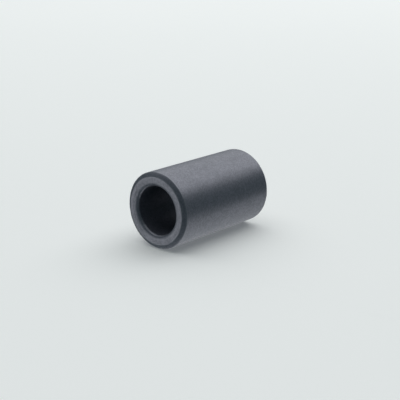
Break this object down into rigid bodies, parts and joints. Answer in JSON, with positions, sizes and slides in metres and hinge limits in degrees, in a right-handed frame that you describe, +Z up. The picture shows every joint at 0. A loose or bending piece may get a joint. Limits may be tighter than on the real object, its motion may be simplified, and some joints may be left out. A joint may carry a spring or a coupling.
{
  "type": "ferrite sleeve bead",
  "caption": "One-piece cylindrical ferrite sleeve with a straight through bore and bevelled ends, threaded onto a cable to damp high-frequency noise.",
  "frame": {"origin": "middle of the lower end face, on the sleeve's axis", "axes": "+Z up along the sleeve's axis; X and Y across it, alike all round"},
  "size_m": [0.017, 0.017, 0.0286],
  "materials": {
    "ferrite": "satin as sintered"
  },
  "bodies": {
    "root": {"ferrite_sleeve": "ferrite"}
  },
  "joints": []
}
